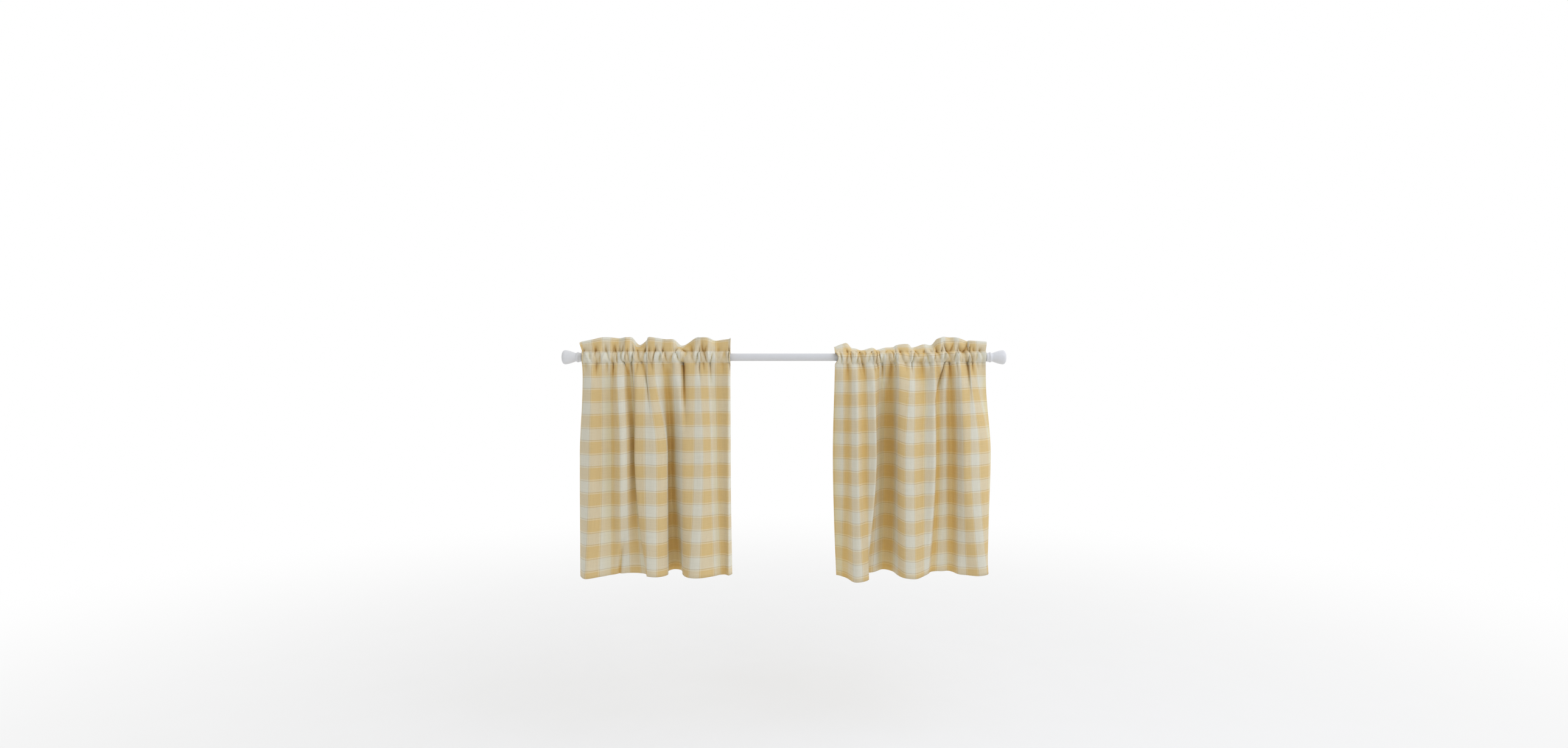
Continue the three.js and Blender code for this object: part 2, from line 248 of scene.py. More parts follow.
# the pair of panels, in millimetres: flat runs from a panel's left edge, line runs down from the top edge
# and is below nought on the back layer
curtain = {
    "width": 686.0, "header": 38.0, "pocket": 34.5, "drop": 546.5,
    "bottomHem": 25.0, "sideHem": 12.0, "hemsFrom": 80.0,   # the last is the line that the side hems start at
    "cloth": 0.7, "doubled": 1.6,             # thickness of the cloth, and of its hems
    "layerGap": 1.8, "layersPart": 2.5,       # between the header's layers, and the line that they part at
    "rodClear": 10.9,
    "columns": 350,
    "rowSteps": [(619, 190, 46), (190, 72.5, 34), (72.5, 38, 14), (38, 3, 13), (3, -3, 4), (-3, -38, 10),
                 (-38, -72.5, 10), (-72.5, -79.5, 2)],   # from line, to line, rows
    "hollowShadeReach": [(30, 20.0), (8, 9.0)],        # painted shade in the hollows: columns to each side and depth, for folds and for creases
    "chartAcross": 100.0, "chartDown": 120.0,   # where the flat cloth starts on its chart
    "lowSeam": -13.5, "highSeam": 15.0, "headBase": 12.3, "hem": -550.0,   # heights from the rod's axis
    "seamShare": 0.3,                         # how much of a fold's drop the lower seam takes up
    "middle": 0.433, "settle": 0.06,          # shares of the drop where the middle folds are, and full depth
    "swing": 1.6, "headBend": 1.3,            # how late the hem's folds and the header's lean set in
    "flareReach": 40.0, "mouthReach": 20.0, "sunkFade": 12.0,
    "pinch": 0.85,                            # how far a pleat draws its two sides together
    "frontPuff": (19.5, 0.20), "backPuff": (13.2, 0.15), "gatherDepth": 9.0, "backGather": 1.5,
    "highForward": 11.0, "lowForward": 14.0, "forwardReach": 110.0,   # how far the seams come to the front
    "seamDepth": 0.5,                         # share of a fold's depth at the lower seam
    "ripples": [(1.1, 1.0), (0.35, 3.1)],     # depth and fineness of the ripples in slack cloth
    "rippleAcross": 0.016, "rippleDown": 0.011, "slackFrom": 0.1,
    "topSlip": 2.5, "slipEnd": 140.0, "slipFade": 60.0,   # how much lower the check sits near the top
    "stretchFrom": 170.0,
    "seamBelow": 12.0, "pocketLine": 55.0, "pocketReach": 18.0,   # creases at the seam and the pocket
}
# what a row of folds says, in this order
foldColumns = ("flat", "topX", "topDepth", "midX", "midDepth", "hemX", "hemDepth",
               "drop", "headRise", "headDepth")
leftPanel = {
    "name": "curtain_left", "node": "panel_left", "firstPale": 31.0, "mouths": (4, 3), "flares": (-5, 1),
    "sunk": (0, 0),                           # how much lower the upper seam sits, and as far as where
    "stretch": 0.014, "seed": 3.0,
    # how much lower the check sits on the cloth: flat, millimetres
    "slips": [(0, 0), (150, 0), (220, -1.5), (300, 0.3), (400, -0.5), (450, -2), (520, -3), (686, -3)],
    "folds": [
        (0, -508, -5, -519, -38, -521, -46, 7, 24, 18),
        (31, -504.5, -3, -518, -10, -519, -18, 7, 27, 14),
        (60, -483, 5, -490, 14, -500.5, 16, 7, 32, 10),
        (96.5, -458, -4, -459, 2, -467, 0, 6, 38, 4),
        (125.5, -438, -6, -437, -2, -440.5, -14, 4, 38, -3),
        (162, -417.5, 6, -409.5, 24, -416, -20, 2, 36, -8),
        (191, -401, 0, -394, 16, -393, -20, 0, 38, 7),
        (213, -395, -12, -385.5, -6, -375, -15, -1, 38, 8),
        (236, -385, -6, -377, -13, -356, -8, -1, 38, 0),
        (274, -367, 7, -372, 14, -345, 12, -1, 20, -27),
        (293, -351, -6, -347.5, 20, -342, 28, -2, 30, -14),
        (322, -343, -6, -319, 26, -317.5, 32, -1, 38, 4),
        (358.5, -325, 0, -294.5, 8, -292.5, 10, -2, 37, 6),
        (390, -305, -8, -297, -30, -295, -36, -2, 34, 3),
        (407, -296, -10, -291, -40, -283, -52, -2, 33, 6),
        (424, -280, 4, -278, -22, -266.5, -44, -2, 33, 4),
        (453, -261, -4, -257, 6, -255.5, 4, -1, 18, -26),
        (489.5, -223.5, -5, -225.5, 10, -236.5, 34, 0, 37, -5),
        (518.5, -211, -4, -203.5, 14, -211, 38, 0, 38, 6),
        (555, -191, -6, -184, 2, -174.5, 14, 0, 37, 4),
        (584, -173.5, -8, -170, -10, -160, -4, 1, 30, -12),
        (602, -156, -5, -155, -8, -149, -6, 1, 32, -2),
        (620.5, -139.5, 1, -140, 0, -139, 4, 1, 34, 5),
        (632, -137.5, -1, -137, -12, -134, -10, 2, 35, 7),
        (686, -135.5, -5, -143.5, -52, -139.5, -36, 3, 36, 9)],
    # flat, line, half width, depth (a ridge is negative), reach up, reach down, lean along the cloth
    "creases": [
        (40, 73.5, 5.5, 5.8, 9, 24, 0.1), (74, 72.5, 5.5, 9.9, 14, 34, 0), (112, 73.5, 5.5, 7.5, 9, 24, 0),
        (139, 72.5, 5.5, 11.7, 14, 46, 0), (182, 67, 7, 10, 8, 36, 0.9),
        (238, 72.5, 5.5, 9.3, 12, 52, 0.05), (266, 73.5, 4.5, 8.6, 10, 24, 0),
        (280, 67, 12, 10.5, 8, 64, 0.42), (308, 150, 8, 6, 60, 60, 0.05), (308, 59, 5.5, 9.3, 12, 12, 0.1),
        (345, 73.5, 5.5, 5.8, 9, 22, 0), (388, 73.5, 5.5, 6.4, 9, 26, 0), (424, 73.5, 5.5, 6.4, 9, 22, 0),
        (460, 73.5, 4.8, 26, 10, 115, 0.02), (513, 72.5, 5.5, 9.4, 12, 34, 0),
        (534, 73.5, 5.5, 6.4, 9, 22, 0), (564, 72.5, 4.5, 7.2, 12, 50, 0), (604, 73.5, 5.5, 5.8, 9, 24, 0),
        (640, 73.5, 5.5, 5.8, 9, 22, 0), (158, 600, 5, 9, 70, 40, -0.15), (270, 38, 6, 11.75, 11.5, 14, 0.3)],
    # at the upper seam: flat, half width, depth, reach up, lean
    "seamCreases": [
        (30, 6, 8.62, 11.5, -0.2), (72, 6, 11.75, 13.8, 0), (110, 6, 8.62, 18.4, 0.2),
        (136, 6, 12.5, 16.1, -0.2), (151, 5, 11.75, 11.5, 0.4), (166, 5, 10.12, 18.4, 0),
        (178, 5, 10.88, 20.7, -0.3), (244, 7, 13, 27.6, 0.2), (291, 6, 12.5, 16.1, -0.4),
        (330, 5, 8.62, 11.5, 0.2), (358, 5, 9.38, 13.8, -0.2), (388, 5, 7.75, 11.5, 0),
        (436, 6, 12.5, 18.4, -0.4), (461, 6, 13, 13.8, 0.5), (481, 6, 13, 23, 0.3),
        (509, 5, 9.38, 13.8, -0.3), (530, 6, 11.75, 23, 0.2), (542, 5, 10.12, 16.1, -0.3),
        (592, 5, 7.75, 13.8, 0), (625, 6, 8.62, 13.8, 0.2)],
    # round the pocket: flat, half width, depth, lean
    "pocketCreases": [
        (54, 6, 8, 0.3), (74, 5.5, 8.5, 0.2), (92, 6, 8.9, -0.3), (120, 6, 8, 0.5), (136, 5.5, 9, -0.3),
        (154, 7, 13.7, 0.3), (176, 5.5, 8, 0.3), (200, 6, 7.2, -0.5), (220, 6, 9.6, 0.4),
        (247, 6, 9.6, -0.4), (273, 6, 10.5, 0.5), (288, 5.5, 9, -0.4), (310, 7, 13, 0.2),
        (332, 5.5, 8, 0.3), (354, 6, 8.9, -0.3), (380, 5.5, 8.5, -0.3), (404, 6, 9.6, 0.4),
        (421, 6, 8.9, -0.3), (442, 6, 10.5, 0.5), (462, 5.5, 9.5, -0.4), (481, 5.5, 8, 0.3),
        (500, 6, 10.5, -0.5), (520, 5.5, 8.5, 0.3), (543, 6, 9.6, 0.5), (570, 5.5, 9, -0.3),
        (587, 5.5, 7.5, 0.3), (602, 6, 8, -0.4), (612, 6, 8, 0.3), (628, 5.5, 8, -0.2), (655, 6, 7.2, -0.2)],
}
rightPanel = {
    "name": "curtain_right", "node": "panel_right", "firstPale": 4.0, "mouths": (8, 0), "flares": (0, 3),
    "sunk": (2.5, 440), "stretch": 0.004, "seed": 11.0,
    "slips": [(0, 9), (165, 9), (215, 3.5), (290, 3), (335, 8.8), (400, 8.5), (450, 7.4), (500, 4.8),
              (550, 2.2), (600, 1), (686, 0.5)],
    "folds": [
        (0, 128, -3, 125, -26, 135.5, -56, 14, 14, -20),
        (33, 148.5, 3, 150, -6, 148.5, -38, 13, 22, -20),
        (52, 160.5, -3, 161.5, -4, 161, -16, 13, 24, -22),
        (69.5, 170.5, 3, 170.5, 10, 173, 22, 13, 14, -28),
        (98.5, 184.5, 4, 185.5, 26, 197, 30, 11, 10, -30),
        (118, 196, -3, 198.5, 12, 211, 20, 9, 6, -32),
        (164, 226.5, 5, 231.5, 26, 209.5, -18, 6, 12, -22),
        (188, 237, 0, 231.5, 4, 213, -37, 5, 7, -30),
        (203, 242.5, -6, 241, -20, 231, -40, 3, 8, -30),
        (229.5, 256.5, -6, 257.5, -46, 255, -66, 2, 12, -24),
        (266, 278.5, -8, 282, -26, 280, -44, 2, 14, -24),
        (295, 287, 14, 285, 12, 288, -2, 2, 19, -14),
        (331.5, 315.5, 5, 302.5, 32, 304, 26, 3, 21, -10),
        (360.5, 327.5, -1, 323.5, 35, 328, 30, 4, 13, -24),
        (397, 356, -12, 351.5, 22, 353, 10, 1, 21, -12),
        (426, 377, 10, 378, 31, 365.5, -4, -1, 20, -22),
        (450, 387.5, -2, 388, -8, 378, -25, -2, 34, -4),
        (462.5, 394.5, -5, 397, -9, 390, -26, -3, 37, 5),
        (477, 401, -1, 404, -7, 404.5, -26, -3, 39, 5),
        (491.5, 407, 1, 412, -9, 418.5, -30, -3, 39, 2),
        (510, 418.5, -6, 427, -15, 431, -28, -1, 38, -5),
        (528, 430, 7, 438, 6, 441.5, -12, 1, 38, 3),
        (557, 441.5, 12, 447, 30, 462, -4, 2, 36, 5),
        (593.5, 465, -5, 466, 32, 490.5, 12, 1, 29, -13),
        (622.5, 467, 1, 487, 28, 513.5, 2, 0, 30, 0),
        (659, 483, 3, 518, 0, 523, -32, 0, 29, 7),
        (686, 508, 0, 530, -30, 524, -57, 0, 27, 6)],
    "creases": [
        (52, 73.5, 5.5, 7.2, 10, 28, 0), (106, 72.5, 5.5, 7.2, 10, 30, 0.3),
        (122, 73.5, 5.5, 7.9, 10, 34, 0.2), (160, 72.5, 6.5, 6.5, 12, 40, 0.4),
        (183, 72.5, 5.5, 8.3, 14, 40, 0.3), (216, 73.5, 6.5, 10.8, 10, 50, 0),
        (253, 72.5, 8, 11, 12, 90, -0.05), (278, 73.5, 4.5, 8, 10, 24, 0), (318, 73.5, 5.5, 6.4, 9, 22, 0),
        (345, 73.5, 5.5, 6.4, 9, 24, 0), (373, 69, 5.5, 6.1, 10, 34, 0.1), (388, 73.5, 5.5, 8.3, 10, 36, 0),
        (412, 73.5, 5.5, 6.4, 9, 24, 0), (440, 70.5, 5.5, 6.1, 10, 30, 0.4),
        (495, 67, 10, 18, 8, 95, -0.66), (512, 70.5, 5.5, 11.9, 14, 50, 0),
        (538, 73.5, 5.5, 7.5, 10, 28, 0), (590, 72.5, 11, 9, 12, 56, 0.1), (642, 73.5, 5.5, 8, 10, 28, 0),
        (664, 73.5, 4.5, 6.9, 10, 20, 0), (676, 73.5, 4.5, 5.8, 10, 18, 0)],
    "seamCreases": [
        (50, 5, 7.8, 12.4, 0.3), (68, 5, 7.3, 12.4, -0.3), (92, 5, 6.8, 10.9, 0.2),
        (112, 5, 7.8, 10.9, -0.2), (130, 5, 6.2, 10.9, 0.3), (156, 6, 7.8, 14.0, -0.3),
        (178, 5, 7.8, 12.4, 0.3), (200, 6, 9.0, 12.4, 0), (232, 5, 6.8, 12.4, -0.3),
        (252, 5, 7.3, 14.0, 0.3), (276, 6, 8.5, 15.5, 0), (304, 5, 6.8, 15.5, 0.3),
        (340, 5, 6.8, 15.5, -0.3), (366, 5, 7.3, 14.0, 0.2), (392, 6, 7.8, 15.5, -0.2),
        (418, 5, 7.3, 15.5, 0.3), (446, 6, 12.5, 16.1, 0.2), (470, 6, 12.5, 16.1, -0.2),
        (495, 6, 13, 20.7, 0.5), (513, 6, 13, 23, -0.5), (545, 5, 9.38, 13.8, 0.3),
        (562, 6, 12.5, 18.4, 0.5), (578, 6, 13, 20.7, -0.5), (598, 6, 12.5, 20.7, 0.4),
        (624, 6, 12.5, 18.4, -0.3), (650, 5, 10.12, 13.8, 0.2), (670, 5, 8.62, 11.5, 0)],
    "pocketCreases": [
        (24, 5.5, 7.5, 0.3), (46, 5.5, 8, -0.2), (66, 6, 9.6, 0.4), (84, 5.5, 7.5, 0.3),
        (100, 6, 9.6, -0.4), (115, 6, 13, 0.3), (128, 5.5, 8, -0.2), (144, 6, 8.9, -0.4),
        (160, 5.5, 8.5, 0.3), (180, 5.5, 9.5, -0.3), (201, 6, 10.5, 0.4), (217, 6, 9.6, -0.4),
        (240, 6, 8.9, 0.4), (262, 5.5, 9, 0.3), (276, 5.5, 8, -0.3), (292, 6, 8.9, -0.5),
        (310, 5.5, 8, 0.3), (330, 6, 8.9, 0.4), (356, 6, 8.9, -0.4), (376, 5.5, 8.5, 0.3),
        (390, 5.5, 8, -0.3), (405, 6, 9.6, 0.4), (430, 6, 9.6, -0.3), (444, 5.5, 8, 0.3),
        (458, 6, 10.5, 0.5), (484, 6, 9.6, -0.4), (506, 5.5, 9, 0.4), (528, 6, 10.5, -0.5),
        (553, 6, 9.6, 0.4), (568, 5.5, 8, -0.3), (580, 7, 13, 0.2), (598, 5.5, 9, -0.3),
        (612, 6, 9.6, -0.4), (636, 6, 9.6, 0.4), (660, 6, 8, -0.3), (675, 5.5, 7, 0.2)],
}

# fine ridges between the creases round the pocket, two waves move each a little off its place
ridges = {
    "count": 42, "start": 10.0, "pitch": 16.0, "line": 54.0, "half": 3.2, "depth": -5.5, "reach": 14.0,
    "waves": (2.4, 1.7), "sideways": 4.0, "upDown": 9.0, "deeper": 2.0, "lean": 0.5,
}
for panel in (leftPanel, rightPanel):
    creases, reach = panel["creases"], curtain["pocketReach"]
    for flat, half, depth, above, lean in panel["seamCreases"]:
        creases.append((flat, curtain["header"], half, depth, above, curtain["seamBelow"], lean))
    for flat, half, depth, lean in panel["pocketCreases"]:
        creases.append((flat, curtain["pocketLine"], half, depth, reach, reach, lean))
    for step in range(ridges["count"]):
        wave, rise = (math.sin(step * pace + panel["seed"]) for pace in ridges["waves"])
        creases.append((ridges["start"] + ridges["pitch"] * step + ridges["sideways"] * wave,
                        ridges["line"] + ridges["upDown"] * rise, ridges["half"],
                        ridges["depth"] + ridges["deeper"] * rise, ridges["reach"], ridges["reach"],
                        ridges["lean"] * wave))


def eased(share):
    return share * share * (3 - 2 * share)


def slopeAt(rows, spot, column):
    before = rows[spot][0] - rows[spot - 1][0] if spot > 0 else 0
    after = rows[spot + 1][0] - rows[spot][0] if spot + 1 < len(rows) else 0
    rise = (rows[spot][column] - rows[spot - 1][column]) / before if before else 0
    fall = (rows[spot + 1][column] - rows[spot][column]) / after if after else 0
    if not before or not after:
        return rise + fall
    return (rise * after + fall * before) / (before + after)


def readFolds(rows, flat):
    spot = 0
    while spot < len(rows) - 2 and flat > rows[spot + 1][0]:
        spot += 1
    run = rows[spot + 1][0] - rows[spot][0]
    share = (flat - rows[spot][0]) / run
    last = eased(share)
    leave, arrive = share * (1 - share) ** 2 * run, share * share * (share - 1) * run
    fold = {"flat": flat}
    for column, name in enumerate(foldColumns[1:], 1):
        before, after = slopeAt(rows, spot, column), slopeAt(rows, spot + 1, column)
        fold[name] = ((1 - last) * rows[spot][column] + last * rows[spot + 1][column]
                      + leave * before + arrive * after)
        if name in ("topX", "midX"):   # how far along the rod a millimetre of cloth goes
            fold[name[:3] + "Run"] = before * (1 - share) + after * share
    return fold


def hangShares(level, sideways):
    if level <= curtain["middle"]:
        share = level / curtain["middle"]
        share = eased(share) if sideways else share * (2 - share)
        return 1 - share, share, 0.0
    share = ((level - curtain["middle"]) / (1 - curtain["middle"])) ** curtain["swing"]
    return 0.0, 1 - share, share


# a crease is a round hollow with a crisp line along its middle, and it widens towards its ends
creaseShape = {"ends": 2.6, "sides": 4.0, "widening": 0.4, "crisp": 0.25, "sharpness": 12.0, "pull": 0.05}


def creaseDepth(panel, flat, line):
    total = drawn = 0.0
    crisp = creaseShape["crisp"]
    for place, start, half, depth, above, below, lean in panel["creases"]:
        reach = (line - start) / (below if line > start else above)
        if abs(reach) > creaseShape["ends"]:
            continue
        wide = half * (1 + creaseShape["widening"] * reach * reach)
        off = (flat - place - lean * (line - start)) / wide
        if abs(off) < creaseShape["sides"]:
            near, hold = math.exp(-0.5 * off * off), math.exp(-reach * reach)
            middle = math.exp(1 - math.sqrt(1 + creaseShape["sharpness"] * off * off))
            total += depth * hold * ((1 - crisp) * near + crisp * middle)
            drawn -= off * wide * near * hold * min(curtain["pinch"], depth * creaseShape["pull"])
    return total, drawn


def nearSides(flat, reach):
    return math.exp(-flat / reach), math.exp((flat - curtain["width"]) / reach)


def clothPoint(panel, fold, line):
    flat = fold["flat"]
    behind = line < 0
    line = abs(line)
    gathers, drawn = creaseDepth(panel, flat, line)
    half = curtain["layerGap"] / 2
    layer = -half if behind else half
    sunk, until = panel["sunk"]
    low = curtain["lowSeam"] - curtain["seamShare"] * fold["drop"]
    high = curtain["highSeam"] - sunk / (1 + math.exp((flat - until) / curtain["sunkFade"]))
    if line <= curtain["header"]:   # the ruffle
        level = 1 - line / curtain["header"]
        first, last = nearSides(flat, curtain["flareReach"])
        flare = panel["flares"][0] * first + panel["flares"][1] * last
        layer *= math.sin(min(1, line / curtain["layersPart"]) * math.pi / 2)
        x = fold["topX"] + flare * level + drawn * fold["topRun"]
        depth = fold["headDepth"] * level ** curtain["headBend"] + layer - gathers
        depth += curtain["highForward"] * (1 - level * level)
        z = high + (curtain["headBase"] + fold["headRise"] - high) * level
        return x, depth, z
    if line <= curtain["header"] + curtain["pocket"]:   # the pocket, held off the rod
        level = (line - curtain["header"]) / curtain["pocket"]
        bulge, up = math.sin(math.pi * level), math.cos(math.pi * level)
        first, last = nearSides(flat, curtain["mouthReach"])
        mouth = panel["mouths"][0] * first - panel["mouths"][1] * last
        x = fold["topX"] + mouth * bulge * bulge + drawn * fold["topRun"]
        z = (high + low) / 2 + (high - low) / 2 * up
        lowSeam = fold["topDepth"] * curtain["seamDepth"] + curtain["lowForward"]
        clear = math.sqrt(max(0.0, curtain["rodClear"] ** 2 - z * z))
        side = -1 if behind else 1
        puff, puffShare = curtain["backPuff" if behind else "frontPuff"]
        furthest = side * (puff + puffShare * (curtain["gatherDepth"] + side * fold["topDepth"]))
        if level < 0.5:
            depth = curtain["highForward"] + (furthest - curtain["highForward"]) * bulge
        else:
            depth = furthest + (lowSeam - furthest) * eased(level * 2 - 1)
        depth += layer - gathers * (1 - curtain["backGather"] * bulge if behind else 1)
        return x, side * max(side * depth, clear) if clear else depth, z
    # the part that hangs
    level = (line - curtain["header"] - curtain["pocket"]) / curtain["drop"]
    settle = curtain["seamDepth"] + (1 - curtain["seamDepth"]) * min(1, level / curtain["settle"])
    top, mid, hem = hangShares(level, True)
    x = top * fold["topX"] + mid * fold["midX"] + hem * fold["hemX"]
    x += drawn * (top * fold["topRun"] + mid * fold["midRun"])
    top, mid, hem = hangShares(level, False)
    depth = (top * fold["topDepth"] * settle + mid * fold["midDepth"] + hem * fold["hemDepth"]
             + layer - gathers)
    fallen = level * curtain["drop"]
    depth += curtain["lowForward"] * math.exp(-(fallen / curtain["forwardReach"]) ** 2)
    z = low + (curtain["hem"] - fold["drop"] - low) * level
    spot = Vector((flat * curtain["rippleAcross"], line * curtain["rippleDown"], panel["seed"]))
    slack = min(1, level / curtain["slackFrom"])
    depth += sum(deep * slack * noise.noise(spot * fine) for deep, fine in curtain["ripples"])
    return x, depth, z


def checkSlip(panel, flat, line):
    for (start, first), (end, last) in zip(panel["slips"], panel["slips"][1:]):
        if flat <= end:
            break
    slip = first + (last - first) * eased((flat - start) / (end - start))
    slip += curtain["topSlip"] * min(1, max(0, (curtain["slipEnd"] - line) / curtain["slipFade"]))
    return slip + panel["stretch"] * max(0, line - curtain["stretchFrom"])


def panelMesh(panel, lines):
    columns, rows = curtain["columns"], len(lines) - 1
    bm = bmesh.new()
    bmesh.ops.create_grid(bm, x_segments=columns, y_segments=rows, size=0.5)
    chart = bm.loops.layers.uv.new("flat cloth")
    # one attribute for the painted shade in the hollows, one for how much lower the check sits
    for name in ("hollowShade", "lowered"):
        bm.verts.layers.float.new(name)
    hollowShade, lowered = bm.verts.layers.float["hollowShade"], bm.verts.layers.float["lowered"]
    folds = [readFolds(panel["folds"], curtain["width"] * column / columns) for column in range(columns + 1)]
    spots, hems, depths = {}, [], [[0.0] * (columns + 1) for line in lines]
    for vert in bm.verts:
        column, row = round((vert.co.x + 0.5) * columns), round((vert.co.y + 0.5) * rows)
        fold, line = folds[column], lines[row]
        spots[vert.index] = (fold["flat"], line, column, row)
        x, depth, z = clothPoint(panel, fold, line)
        depths[row][column] = depth
        vert.co = Vector((x, -depth, z)) * mm
        fromSide = min(fold["flat"], curtain["width"] - fold["flat"])
        inHem = fromSide <= curtain["sideHem"] or lines[0] - line <= curtain["bottomHem"]
        if inHem and line > curtain["hemsFrom"]:
            hems.append(vert.index)
    for vert in bm.verts:
        flat, line, column, row = spots[vert.index]
        # painted shade amount: how far the point lies behind the mean depth of the columns round it
        paintedShadeAmount = 0.0
        for reach, deep in curtain["hollowShadeReach"]:
            near = depths[row][max(0, column - reach):column + reach + 1]
            paintedShadeAmount += (sum(near) / len(near) - depths[row][column]) / deep
        vert[hollowShade] = min(1.0, max(-1.0, paintedShadeAmount))   # painted shade amount, below nought where the back is hollow
        vert[lowered] = checkSlip(panel, flat, line)
    for face in bm.faces:
        face.smooth = True
        for loop in face.loops:
            flat, line = spots[loop.vert.index][:2]
            loop[chart].uv = ((flat - panel["firstPale"] + curtain["chartAcross"]) * mm,
                              (line + curtain["chartDown"]) * mm)
    mesh = bpy.data.meshes.new(panel["name"])
    bm.to_mesh(mesh)
    bm.free()
    return mesh, hems


def sewPanel(panel, materials):
    lines = [curtain["rowSteps"][0][0]]
    for start, end, rows in curtain["rowSteps"]:
        lines += [start + (end - start) * step / rows for step in range(1, rows + 1)]
    mesh, hems = panelMesh(panel, lines)
    for material in materials:
        mesh.materials.append(material)
    piece = bpy.data.objects.new(panel["name"], mesh)
    scene.collection.objects.link(piece)
    doubled = piece.vertex_groups.new(name="hems")
    doubled.add(hems, 1.0, "REPLACE")
    wall = piece.modifiers.new("cloth thickness", "SOLIDIFY")
    wall.thickness = curtain["doubled"] * mm
    wall.offset = -1
    wall.material_offset = 1                  # the second material is on the back
    wall.vertex_group = "hems"
    wall.thickness_vertex_group = curtain["cloth"] / curtain["doubled"]
    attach(piece, "root")
    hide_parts(panel["node"])
    print("sewn:", panel["name"], len(mesh.polygons), "faces")


# white rod and its two end pieces, spun round the rod's axis
rod = {
    "radius": 9.5, "halfLength": 522.2, "chamfer": 0.8, "sides": 96,
    "rims": 0.9,                              # as far from an end as its edges are crisp
    "colour": (0.675, 0.68, 0.695, 1), "roughness": (0.34, 0.46), "coat": 0.1,
}
finial = {
    "tip": 560.5, "sides": 40, "smoothing": 2,
    # from the tip, radius: a trumpet mouth, its neck, a ring and the socket that the rod sits in
    "outline": [(0, 0), (0, 7.0), (0.4, 10.8), (1.2, 13.6), (2.6, 16.0), (4.6, 17.6), (7.0, 18.2),
                (9.5, 18.1), (13, 17.5), (17, 16.6), (22, 15.1), (27, 13.4), (31, 11.9), (33.6, 11.0),
                (35, 10.8), (35.8, 10.9), (36.4, 11.6), (37.4, 12.6), (39, 13.0), (40.8, 13.0),
                (42.2, 12.5), (43, 11.8), (43.8, 11.5), (46, 11.4), (49.4, 11.3), (50, 11.1), (50, 10.0),
                (49.4, 9.8), (44, 9.8), (38.6, 9.8), (38.2, 9.6), (38.2, 5), (38.2, 0)],
    "colour": (0.725, 0.73, 0.745, 1), "roughness": (0.30, 0.42), "coat": 0.2,
}
paint = {
    # noise: scale, detail, roughness
    "broad": (16.0, 3.0, 0.5), "handled": (120.0, 4.0, 0.6), "skin": (900.0, 1.0, 0.5),
    "faded": (0.96, 0.955, 0.945, 1), "fadedRange": (0.35, 0.7), "fadedShare": 0.35,
    "rubbed": (0.93, 0.925, 0.915, 1), "rubbedRange": (0.5, 0.8), "rubbedShare": 0.3,
    "dullRange": (0.3, 0.7), "shine": 0.35, "coatRoughness": 0.25, "relief": (0.06, 0.0002),
}
weld, sliver = 1e-6, 1e-7                     # metres: points this near are one, edges this short are dropped


def paintGroup():
    tree, given, result = newGroup(
        "satin white", {"Colour": colourSocket, "Smooth": floatSocket, "Dull": floatSocket},
        {"Colour": colourSocket, "Roughness": floatSocket, "Height": floatSocket})
    place = addNode(tree, "ShaderNodeTexCoord").outputs["Object"]
    broad, handled, skin = (cloudy(tree, place, *paint[name]) for name in ("broad", "handled", "skin"))
    fadedShare = ramp(tree, broad, *paint["fadedRange"], 0.0, paint["fadedShare"])
    faded = blend(tree, fadedShare, given["Colour"], paint["faded"], "MULTIPLY")
    rubbedShare = ramp(tree, handled, *paint["rubbedRange"], 0.0, paint["rubbedShare"])
    plug(tree, blend(tree, rubbedShare, faded, paint["rubbed"], "MULTIPLY"), result["Colour"])
    roughness = ramp(tree, handled, *paint["dullRange"], given["Smooth"], given["Dull"])
    plug(tree, roughness, result["Roughness"])
    plug(tree, skin, result["Height"])
    return tree


def whiteMaterial(name, group, look):
    material, tree, shader = newMaterial(name, **{
        "Specular IOR Level": paint["shine"], "Coat Weight": look["coat"],
        "Coat Roughness": paint["coatRoughness"]})
    smooth, dull = look["roughness"]
    surface = useGroup(tree, group, Colour=look["colour"], Smooth=smooth, Dull=dull)
    plug(tree, surface["Colour"], shader.inputs["Base Color"])
    plug(tree, surface["Roughness"], shader.inputs["Roughness"])
    addBump(tree, shader, surface["Height"], *paint["relief"])
    return material


def spinPiece(name, outline, sides, material):
    bm = bmesh.new()
    profile = [bm.verts.new((x * mm, 0, radius * mm)) for x, radius in outline]
    edges = [bm.edges.new(pair) for pair in zip(profile, profile[1:])]
    bmesh.ops.spin(bm, geom=profile + edges, cent=(0, 0, 0), axis=(1, 0, 0), angle=math.tau,
                   steps=sides, use_merge=True)
    bmesh.ops.remove_doubles(bm, verts=bm.verts, dist=weld)
    bmesh.ops.dissolve_degenerate(bm, edges=bm.edges, dist=sliver)
    bmesh.ops.recalc_face_normals(bm, faces=bm.faces)
    for face in bm.faces:
        face.smooth = True
    mesh = bpy.data.meshes.new(name)
    bm.to_mesh(mesh)
    bm.free()
    mesh.materials.append(material)
    piece = bpy.data.objects.new(name, mesh)
    scene.collection.objects.link(piece)
    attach(piece, "root")
    return piece


